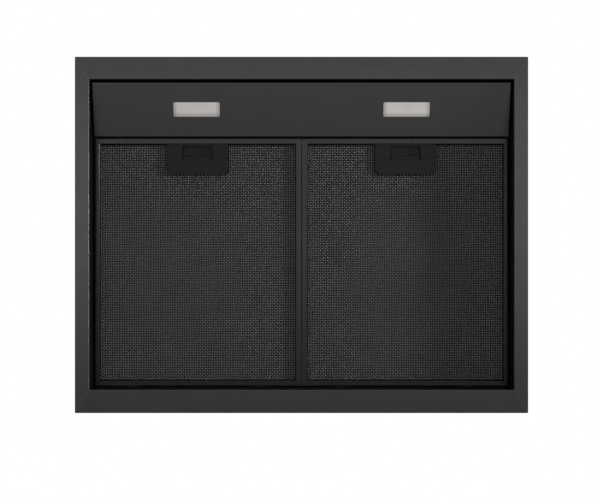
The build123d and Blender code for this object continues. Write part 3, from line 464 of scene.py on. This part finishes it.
def turned_steel(name, colour):
    """Bright steel with fine drawing lines."""
    steel = Finish(name, colour, 0.25, metallic=1.0)
    lines = steel.noise(300.0, 2.0, steel.turned(0.0, (1.0, 14.0, 14.0)))
    steel.shade(steel.spread(lines, 0.9, 1.05))
    steel.rough(steel.spread(lines, 0.18, 0.34))
    return steel.bump(lines, 0.1, 0.00005)


def solder_mask(name, colour):
    """Circuit board: mask with faint tracks under it."""
    board = Finish(name, colour, 0.3)
    tracks = board.math("MAXIMUM", board.bands(0.004, 0.0), board.bands(0.0055, math.pi / 2))
    board.shade(board.spread(tracks, 0.8, 1.35, 0.8, 0.95))
    board.rough(board.spread(board.noise(200.0), 0.25, 0.4))
    return board.bump(tracks, 0.1, 0.00005)


def place(name, bm, body, slot, finish):
    """Make a finished bmesh a piece of the hood that rides on a body."""
    mesh = bpy.data.meshes.new(name)
    bm.to_mesh(mesh)
    bm.free()
    mesh.materials.append(finish)
    piece = bpy.data.objects.new(name, mesh)
    bpy.context.scene.collection.objects.link(piece)
    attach(piece, body)
    return piece


class HOOD_OT_finishes(Operator):
    """Make every finish and give each carried-over node its own"""

    bl_idname = "hood.finishes"
    bl_label = "Finishes"

    def execute(self, context):
        c = context.scene.hood_colours
        fine, coarse = context.scene.hood_mesh.pitch, context.scene.hood_back.pitch
        made = {
            "black_paint": powder_coat("satin_black_paint", c.rim, 0.3, 0.36),
            "rim": painted_mitre_light(powder_coat("mitred_rim_paint", c.rim, 0.3, 0.36)),
            "panel": powder_coat("panel_paint", c.panel, 0.32, 0.46),
            # matt black of the bay, darker than the canopy's partly as painted shade
            "dark_paint": powder_coat("bay_paint", c.bay, 0.55, 0.1),
            "filter_black": joint_highlight(tabs_in_painted_shade(powder_coat("filter_frame_paint", c.filter, 0.28, 0.19))),
            "strands": strand_metal("filter_strands", c.strands, fine),
            "back_strands": behind_latch(strand_metal("back_strands", c.strands, coarse)),
            "filter_core": packed_layers("filter_layers", c.core, fine),
            "latch": seat_shade(moulded("latch_plastic", c.latch, 0.55, 0.04)),
            "grip": grip_shade(moulded("grip_plastic", c.latch, 0.55, 0.04)),
            "black_plastic": moulded("black_plastic", c.plastic, 0.42, 0.35),
            "button": moulded("button_plastic", c.button, 0.34),
            "grey_plastic": moulded("grey_plastic", c.housing, 0.45),
            "fan_plastic": moulded("fan_plastic", c.fan, 0.4),
            "lens_plastic": frosted("frosted_lens", c.lens),
            "zinc_steel": galvanised("galvanised_steel", c.zinc),
            "shaft_steel": turned_steel("bright_steel", c.steel),
            "motor_metal": powder_coat("motor_paint", c.motor, 0.4),
            "circuit_board": solder_mask("solder_mask", c.board),
        }
        FINISHES.update({slot: finish.material for slot, finish in made.items()})
        for node, piece in frame["nodes"].items():
            piece.data.materials.clear()
            piece.data.materials.append(FINISHES[OWN_FINISH.get(node, SLOT_OF[node])])
        return {"FINISHED"}


class HOOD_OT_filter_meshes(Operator):
    """Make the fine front mesh and the coarser back mesh of each grease filter"""

    bl_idname = "hood.filter_meshes"
    bl_label = "Filter meshes"

    def execute(self, context):
        look, coarse = context.scene.hood_mesh, context.scene.hood_back
        for side in SIDES:
            body = f"filter_{side}"
            bm = self.sheet(side, f"filter_mesh_{side}", look)
            self.notch(bm, f"latch_bezel_{side}", look)
            self.thicken(bm, look)
            front = place(f"strand_mesh_{side}", bm, body, "filter_black", FINISHES["strands"])
            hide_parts(f"filter_mesh_{side}")
            bm = self.sheet(side, f"filter_back_{side}", coarse)
            self.thicken(bm, coarse)
            place(f"back_mesh_{side}", bm, body, "filter_black", FINISHES["back_strands"])
        return {"FINISHED"}

    def thicken(self, bm, look):
        """Give a lattice its sheet's thickness."""
        bmesh.ops.solidify(bm, geom=bm.faces[:], thickness=look.thickness)
        bmesh.ops.recalc_face_normals(bm, faces=bm.faces)

    def sheet(self, side, node, look):
        """A lattice of ridged strands, cut to what the filter's frame covers."""
        frame_low, frame_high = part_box(f"filter_frame_{side}")
        low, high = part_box(node)
        bar = FRAME_BAR - look.lap
        skirt = 0.5 * (high.x - low.x) - 0.5 * (frame_high.x - frame_low.x) + bar
        centre = (low + high) / 2
        half = (high - low) / 2 - Vector((skirt, skirt, 0.0))
        step = look.pitch * math.sqrt(2.0)
        start = Vector((round(centre.x / step) * step, round(centre.y / step) * step, low.z + look.ridge))
        count = 2 * math.ceil((half.x + half.y) / step) + 4
        bm = bmesh.new()
        bmesh.ops.create_grid(bm, x_segments=count, y_segments=count, size=count * look.pitch / 2)
        bmesh.ops.rotate(bm, verts=bm.verts, cent=(0, 0, 0), matrix=Matrix.Rotation(math.pi / 4, 3, "Z"))
        bmesh.ops.translate(bm, verts=bm.verts, vec=start)
        far = [
            face
            for face in bm.faces
            if abs(face.calc_center_median().x - centre.x) > half.x + look.pitch
            or abs(face.calc_center_median().y - centre.y) > half.y + look.pitch
        ]
        bmesh.ops.delete(bm, geom=far, context="FACES")
        knots = list(bm.verts)
        gaps = list(bm.faces)
        bmesh.ops.inset_individual(bm, faces=gaps, thickness=look.strand / 2, use_even_offset=True)
        bmesh.ops.delete(bm, geom=gaps, context="FACES")
        bmesh.ops.translate(bm, verts=knots, vec=(0, 0, -look.ridge))
        for axis in (Vector((1, 0, 0)), Vector((0, 1, 0))):
            for way in (-1, 1):
                self.cut(bm, bm.faces, centre + way * axis * half.dot(axis), way * axis, True)
        return bm

    def notch(self, bm, latch, look):
        """Take out what the latch covers, with its rounded corners."""
        low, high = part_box(latch)
        middle, half = (low.x + high.x) / 2, (high.x - low.x) / 2
        rear = high.y + NOTCH_REAR_PLAY
        lines = [(Vector((middle, rear, 0)), Vector((0, 1, 0)))]
        for way, play in NOTCH_SIDE_PLAY.items():
            side = middle + way * (half + play)
            lines.append((Vector((side, rear, 0)), Vector((way, 0, 0))))
            corner = Vector((side - way * NOTCH_RADIUS, rear - NOTCH_RADIUS, 0))
            for angle in map(math.radians, NOTCH_CORNER_CUTS):
                out = Vector((way * math.cos(angle), math.sin(angle), 0))
                lines.append((corner + out * NOTCH_RADIUS, out))
        for point, out in lines:
            near = [
                face
                for face in bm.faces
                if face.calc_center_median().y < rear + look.pitch
                and abs(face.calc_center_median().x - middle) < half + look.pitch
            ]
            self.cut(bm, near, point, out, False)
        covered = [
            face
            for face in bm.faces
            if all((face.calc_center_median() - point).dot(out) < 0 for point, out in lines)
        ]
        bmesh.ops.delete(bm, geom=covered, context="FACES")

    def cut(self, bm, faces, point, out, clear):
        """Cut faces by a plane, and clear what lies beyond it."""
        near = list(faces)
        edges = {edge for face in near for edge in face.edges}
        verts = {vert for face in near for vert in face.verts}
        bmesh.ops.bisect_plane(
            bm,
            geom=near + list(edges) + list(verts),
            dist=1e-7,
            plane_co=point,
            plane_no=out,
            clear_outer=clear,
        )


class HOOD_OT_latch_springs(Operator):
    """Make each latch's wave spring as a rigid piece that rides on its latch, though the real one is
    pressed together as the grip is pulled
    """

    bl_idname = "hood.latch_springs"
    bl_label = "Latch springs"

    def execute(self, context):
        joints = {joint["name"]: joint for joint in frame["record"]["behaviour"]["joints"]}
        for side in SIDES:
            node, slide = f"latch_spring_{side}", f"latch_{side}_slide"
            slot, travel = SLOT_OF[node], joints[slide]["range_m"][1]
            bm = bmesh.new()
            bm.from_mesh(frame["nodes"][node].data)
            bmesh.ops.remove_doubles(bm, verts=bm.verts, dist=1e-6)
            bmesh.ops.recalc_face_normals(bm, faces=bm.faces)
            spring = place(f"wave_spring_{side}", bm, f"latch_{side}", slot, FINISHES[slot])
            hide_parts(node)
            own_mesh(spring)
        return {"FINISHED"}


class HOOD_OT_screws(Operator):
    """Make the screws and rivets that hold the hood's sheets together"""

    bl_idname = "hood.screws"
    bl_label = "Screws"

    def execute(self, context):
        look = context.scene.hood_screws
        up, right, back = Vector((0, 0, 1)), Vector((1, 0, 0)), Vector((0, 1, 0))
        low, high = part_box("blower_casing")
        flange = [
            (Vector((way * (high.x - look.head), y, low.z + SHEET)), up)
            for way in (-1, 1)
            for y in (low.y + 6 * look.head, (low.y + high.y) / 2, high.y - 6 * look.head)
        ]
        foot = [
            (Vector((x, COLLAR_MIDDLE + y, high.z + 2 * SHEET)), up)
            for x in (-COLLAR_SCREW_X, COLLAR_SCREW_X)
            for y in (-COLLAR_SCREW_Y, COLLAR_SCREW_Y)
        ]
        low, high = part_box("control_box_lid")
        lid = [
            (Vector((x, (low.y + high.y) / 2, low.z)), -up)
            for x in (low.x + 2 * look.head, high.x - 2 * look.head)
        ]
        low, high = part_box("motor_bracket")
        centre, ring = (low + high) / 2, (high.y - low.y) / 2 - 1.3 * look.head
        arms = [
            (Vector((high.x, centre.y + ring * math.cos(turn), centre.z + ring * math.sin(turn))), right)
            for turn in (0.0, math.tau / 3, 2 * math.tau / 3)
        ]
        low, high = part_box("chimney_bracket")
        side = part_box("chimney_upper")[1].x
        cover = [
            (Vector((way * side, low.y + 4 * look.head, high.z - 3 * look.head)), way * right)
            for way in (-1, 1)
        ]
        low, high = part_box("wall_plates")
        plates = [
            (Vector((way * (high.x - inset), low.y, z)), -back)
            for way in (-1, 1)
            for inset in (2 * look.rivet, PLATE_WIDTH - 2 * look.rivet)
            for z in (low.z + 2 * look.rivet, high.z - 2 * look.rivet)
        ]
        for name, spots, body, slot in (
            ("casing_screws", flange, "canopy", "shaft_steel"),
            ("collar_screws", foot, "canopy", "shaft_steel"),
            ("lid_screws", lid, "canopy", "shaft_steel"),
            ("motor_screws", arms, "canopy", "shaft_steel"),
            ("chimney_screws", cover, "chimney_upper", "black_paint"),
        ):
            screws = self.row(spots, look.head, look.rise, look.recess)
            place(name, screws, body, slot, FINISHES[slot])
        rivets = self.row(plates, look.rivet, look.rise, 0.0)
        place("plate_rivets", rivets, "canopy", "zinc_steel", FINISHES["zinc_steel"])
        return {"FINISHED"}

    def row(self, spots, radius, rise, recess):
        """Heads at several spots, each turned a little further than the last."""
        bm = bmesh.new()
        copy = bpy.data.meshes.new("head")
        for number, (at, out) in enumerate(spots):
            head = self.head(radius, rise, recess)
            turn = Matrix.Rotation(number * HEAD_TURN, 4, "Z")
            stand = Vector((0, 0, 1)).rotation_difference(out).to_matrix().to_4x4()
            bmesh.ops.transform(head, matrix=Matrix.Translation(at) @ stand @ turn, verts=head.verts)
            head.to_mesh(copy)
            head.free()
            bm.from_mesh(copy)
        bpy.data.meshes.remove(copy)
        return bm

    def head(self, radius, rise, recess):
        """A domed head, with a cross recess where it is a screw's."""
        bm = bmesh.new()
        bmesh.ops.create_grid(bm, x_segments=HEAD_CELLS, y_segments=HEAD_CELLS, size=1.0)
        middles = {face: face.calc_center_median() for face in bm.faces}
        cross = [
            face
            for face, at in middles.items()
            if min(abs(at.x), abs(at.y)) < CROSS_WIDTH and at.length < CROSS_REACH
        ]
        for vert in bm.verts:
            x, y = vert.co.x, vert.co.y
            round_x, round_y = x * math.sqrt(1 - y * y / 2), y * math.sqrt(1 - x * x / 2)
            dome = rise * (1 - HEAD_FALL * (round_x**2 + round_y**2))
            vert.co = (radius * round_x, radius * round_y, dome)
        rim = [edge for edge in bm.edges if edge.is_boundary]
        skirt = bmesh.ops.extrude_edge_only(bm, edges=rim)["geom"]
        seat = [item for item in skirt if isinstance(item, bmesh.types.BMVert)]
        bmesh.ops.scale(bm, verts=seat, vec=(1.0, 1.0, 0.0))
        bmesh.ops.contextual_create(bm, geom=[edge for edge in bm.edges if edge.is_boundary])
        if recess:
            sunk = bmesh.ops.extrude_face_region(bm, geom=cross)["geom"]
            bmesh.ops.delete(bm, geom=cross, context="FACES")
            floor = [item for item in sunk if isinstance(item, bmesh.types.BMVert)]
            bmesh.ops.translate(bm, verts=floor, vec=(0, 0, -recess))
            bmesh.ops.scale(bm, verts=floor, vec=(CROSS_TAPER, CROSS_TAPER, 1.0))
        bmesh.ops.recalc_face_normals(bm, faces=bm.faces)
        return bm


class HOOD_OT_stage(Operator):
    """Make the floor, the light and the camera"""

    bl_idname = "hood.stage"
    bl_label = "Stage"

    def execute(self, context):
        stage = context.scene.hood_stage
        self.world(context.scene, stage)
        self.floor(context.scene, stage)
        for name in LAMPS:
            self.lamp(context.scene, name, getattr(stage, name))
        for quarter, name in enumerate(("rear", "left", "front", "right")):
            self.flag(context.scene, f"{name}_flag", quarter * math.pi / 2, stage)
        self.camera(context.scene, stage)
        context.scene.view_settings.view_transform = "Standard"
        return {"FINISHED"}

    def world(self, scene, stage):
        """Even light, and white where the camera, a gloss or glass looks past the hood."""
        world = bpy.data.worlds.new("studio")
        scene.world = world
        world.use_nodes = True
        nodes, links = world.node_tree.nodes, world.node_tree.links
        back = nodes["Background"]
        back.inputs["Color"].default_value = (1.0, 1.0, 1.0, 1.0)
        rays = nodes.new("ShaderNodeLightPath")
        seen = rays.outputs["Is Camera Ray"]
        for ray in ("Is Glossy Ray", "Is Transmission Ray"):
            either = nodes.new("ShaderNodeMath")
            either.operation = "MAXIMUM"
            links.new(seen, either.inputs[0])
            links.new(rays.outputs[ray], either.inputs[1])
            seen = either.outputs[0]
        level = nodes.new("ShaderNodeMapRange")
        level.inputs["To Min"].default_value = stage.ambient
        level.inputs["To Max"].default_value = 1.0
        links.new(seen, level.inputs["Value"])
        links.new(level.outputs["Result"], back.inputs["Strength"])

    def floor(self, scene, stage):
        """A wide pale floor below the hood."""
        bm = bmesh.new()
        bmesh.ops.create_circle(bm, cap_ends=True, segments=96, radius=FLOOR_RADIUS)
        bmesh.ops.translate(bm, verts=bm.verts, vec=(0, 0, -stage.floor))
        mesh = bpy.data.meshes.new("floor")
        bm.to_mesh(mesh)
        bm.free()
        floor = bpy.data.objects.new("floor", mesh)
        scene.collection.objects.link(floor)
        pale = Finish("pale_floor", (0.8, 0.8, 0.8), 0.7, specular=0.2)
        pale.shade(pale.spread(pale.noise(3.0, 4.0), 0.98, 1.02))
        rays = pale.nodes.new("ShaderNodeLightPath")
        glow = pale.spread(rays.outputs["Is Camera Ray"], 0.0, FLOOR_GLOW, 0.0, 1.0)
        pale.shader.inputs["Emission Color"].default_value = (1.0, 1.0, 1.0, 1.0)
        pale.links.new(glow, pale.shader.inputs["Emission Strength"])
        mesh.materials.append(pale.material)

    def lamp(self, scene, name, power):
        """A soft lamp that the camera doesn't see."""
        at, aim, area, spread = LAMPS[name]
        data = bpy.data.lights.new(name, "AREA")
        data.shape = "RECTANGLE"
        data.size, data.size_y = area
        data.spread = spread
        data.energy = power
        lamp = bpy.data.objects.new(name, data)
        lamp.location = at
        lamp.rotation_euler = (Vector(aim) - Vector(at)).to_track_quat("-Z", "Y").to_euler()
        lamp.visible_camera = False
        scene.collection.objects.link(lamp)

    def flag(self, scene, name, turn, stage):
        """A dark upright card below the rim, that only gloss sees."""
        bm = bmesh.new()
        bmesh.ops.create_grid(bm, x_segments=1, y_segments=1, size=0.5)
        bmesh.ops.scale(bm, verts=bm.verts, vec=(2 * stage.flag, stage.flag, 1.0))
        bmesh.ops.rotate(bm, verts=bm.verts, cent=(0, 0, 0), matrix=Matrix.Rotation(math.pi / 2, 3, "X"))
        bmesh.ops.translate(bm, verts=bm.verts, vec=(0, stage.flag, -FLAG_DROP * stage.flag))
        bmesh.ops.rotate(bm, verts=bm.verts, cent=(0, 0, 0), matrix=Matrix.Rotation(turn, 3, "Z"))
        mesh = bpy.data.meshes.new(name)
        bm.to_mesh(mesh)
        bm.free()
        felt = Finish(f"{name}_felt", (0.01, 0.01, 0.01), 0.9, specular=0.0)
        felt.shade(felt.spread(felt.noise(40.0), 0.8, 1.2))
        mesh.materials.append(felt.material)
        flag = bpy.data.objects.new(name, mesh)
        flag.visible_camera = flag.visible_diffuse = flag.visible_shadow = False
        flag.visible_transmission = False
        scene.collection.objects.link(flag)

    def camera(self, scene, stage):
        """Straight below the hood, looking up, with its front at the top."""
        data = bpy.data.cameras.new("from_below")
        data.lens = stage.lens
        data.sensor_width = SENSOR_WIDTH
        data.shift_x, data.shift_y = CAMERA_SHIFT
        camera = bpy.data.objects.new("from_below", data)
        camera.location = (0.0, 0.0, -stage.distance)
        camera.rotation_euler = (math.pi, 0.0, 0.0)
        scene.collection.objects.link(camera)
        scene.camera = camera


class HOOD_PT_sidebar(Panel):
    """The hood's pieces and settings"""

    bl_idname = "HOOD_PT_sidebar"
    bl_label = "Cooker Hood"
    bl_space_type = "VIEW_3D"
    bl_region_type = "UI"
    bl_category = "Hood"

    def draw(self, context):
        for operator in OPERATORS:
            self.layout.operator(operator.bl_idname)
        for group in (getattr(context.scene, key) for key in GROUPS):
            box = self.layout.box()
            for key in group.__annotations__:
                box.prop(group, key)


OPERATORS = (
    HOOD_OT_finishes,
    HOOD_OT_filter_meshes,
    HOOD_OT_latch_springs,
    HOOD_OT_screws,
    HOOD_OT_stage,
)
GROUPS = {
    "hood_colours": HOOD_PG_colours,
    "hood_mesh": HOOD_PG_mesh,
    "hood_back": HOOD_PG_back,
    "hood_screws": HOOD_PG_screws,
    "hood_stage": HOOD_PG_stage,
}


def register():
    for cls in (*GROUPS.values(), *OPERATORS, HOOD_PT_sidebar):
        bpy.utils.register_class(cls)
    for key, cls in GROUPS.items():
        setattr(bpy.types.Scene, key, PointerProperty(type=cls))


def unregister():
    for key in GROUPS:
        delattr(bpy.types.Scene, key)
    for cls in (HOOD_PT_sidebar, *reversed(OPERATORS), *reversed(GROUPS.values())):
        bpy.utils.unregister_class(cls)


def main():
    register()
    bpy.ops.hood.finishes()
    bpy.ops.hood.filter_meshes()
    bpy.ops.hood.latch_springs()
    bpy.ops.hood.screws()
    bpy.ops.hood.stage()


if __name__ == "__main__":
    main()
